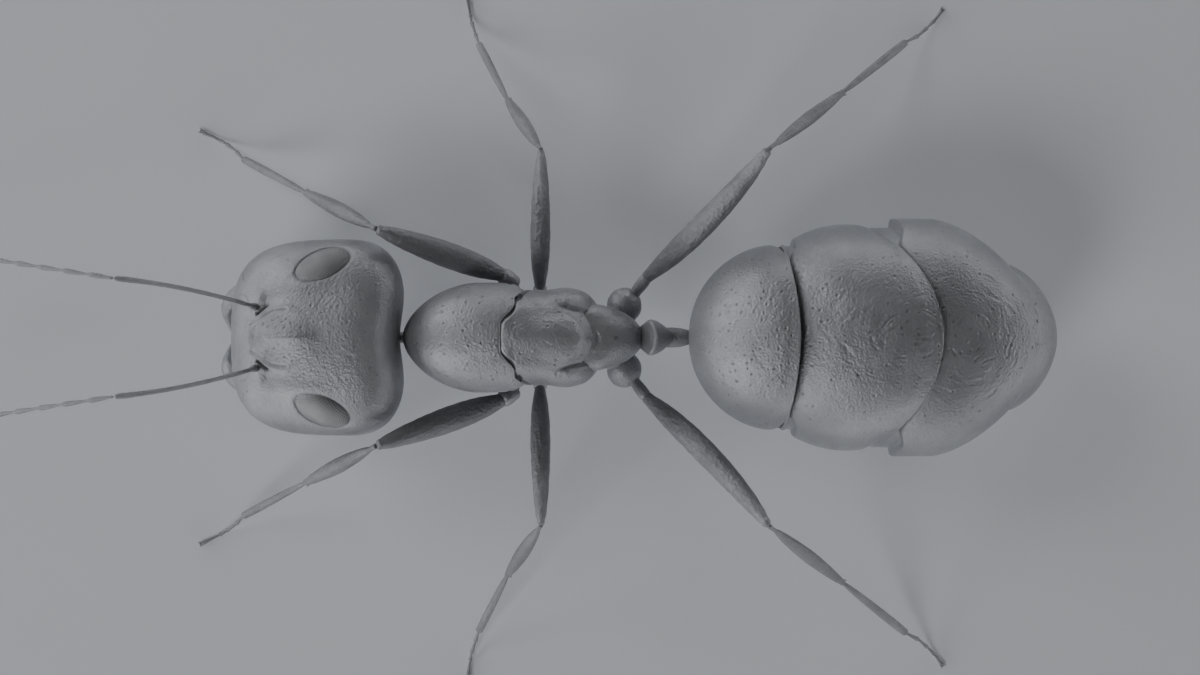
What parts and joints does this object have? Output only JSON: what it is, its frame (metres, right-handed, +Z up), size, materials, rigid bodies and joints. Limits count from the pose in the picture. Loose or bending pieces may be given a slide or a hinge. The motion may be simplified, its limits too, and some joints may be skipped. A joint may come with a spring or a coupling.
{
  "type": "giant forest ant",
  "caption": "Giant forest ant worker at rest, a still life-size model standing on its feet with elbowed antennae held forwards.",
  "frame": {"origin": "middle of the length and width of the ant with its antennae and legs, on the floor that its feet stand on", "axes": "+Z up, -Y towards the head and antennae, +X towards the ant's left side"},
  "size_m": [0.0246, 0.0396, 0.0094],
  "materials": {
    "shell": "satin, finely wrinkled and pitted cuticle",
    "limb": "satin, finely grained cuticle",
    "eye": "glossy, with fine facets"
  },
  "bodies": {
    "root": {"head": "shell", "eye_left": "eye", "eye_right": "eye", "mandible_left": "shell", "mandible_right": "shell", "antenna_left_scape": "limb", "antenna_right_scape": "limb", "antenna_left_funiculus": "limb", "antenna_right_funiculus": "limb", "pronotum": "shell", "mesothorax": "shell", "propodeum": "shell", "petiole": "shell", "gaster_1": "shell", "gaster_2": "shell", "gaster_3": "shell", "gaster_4": "shell", "leg_front_left_coxa": "limb", "leg_front_right_coxa": "limb", "leg_front_left_femur": "limb", "leg_front_right_femur": "limb", "leg_front_left_tibia": "limb", "leg_front_right_tibia": "limb", "leg_front_left_tarsus": "limb", "leg_front_right_tarsus": "limb", "leg_mid_left_coxa": "limb", "leg_mid_right_coxa": "limb", "leg_mid_left_femur": "limb", "leg_mid_right_femur": "limb", "leg_mid_left_tibia": "limb", "leg_mid_right_tibia": "limb", "leg_mid_left_tarsus": "limb", "leg_mid_right_tarsus": "limb", "leg_hind_left_coxa": "limb", "leg_hind_right_coxa": "limb", "leg_hind_left_femur": "limb", "leg_hind_right_femur": "limb", "leg_hind_left_tibia": "limb", "leg_hind_right_tibia": "limb", "leg_hind_left_tarsus": "limb", "leg_hind_right_tarsus": "limb"}
  },
  "joints": []
}
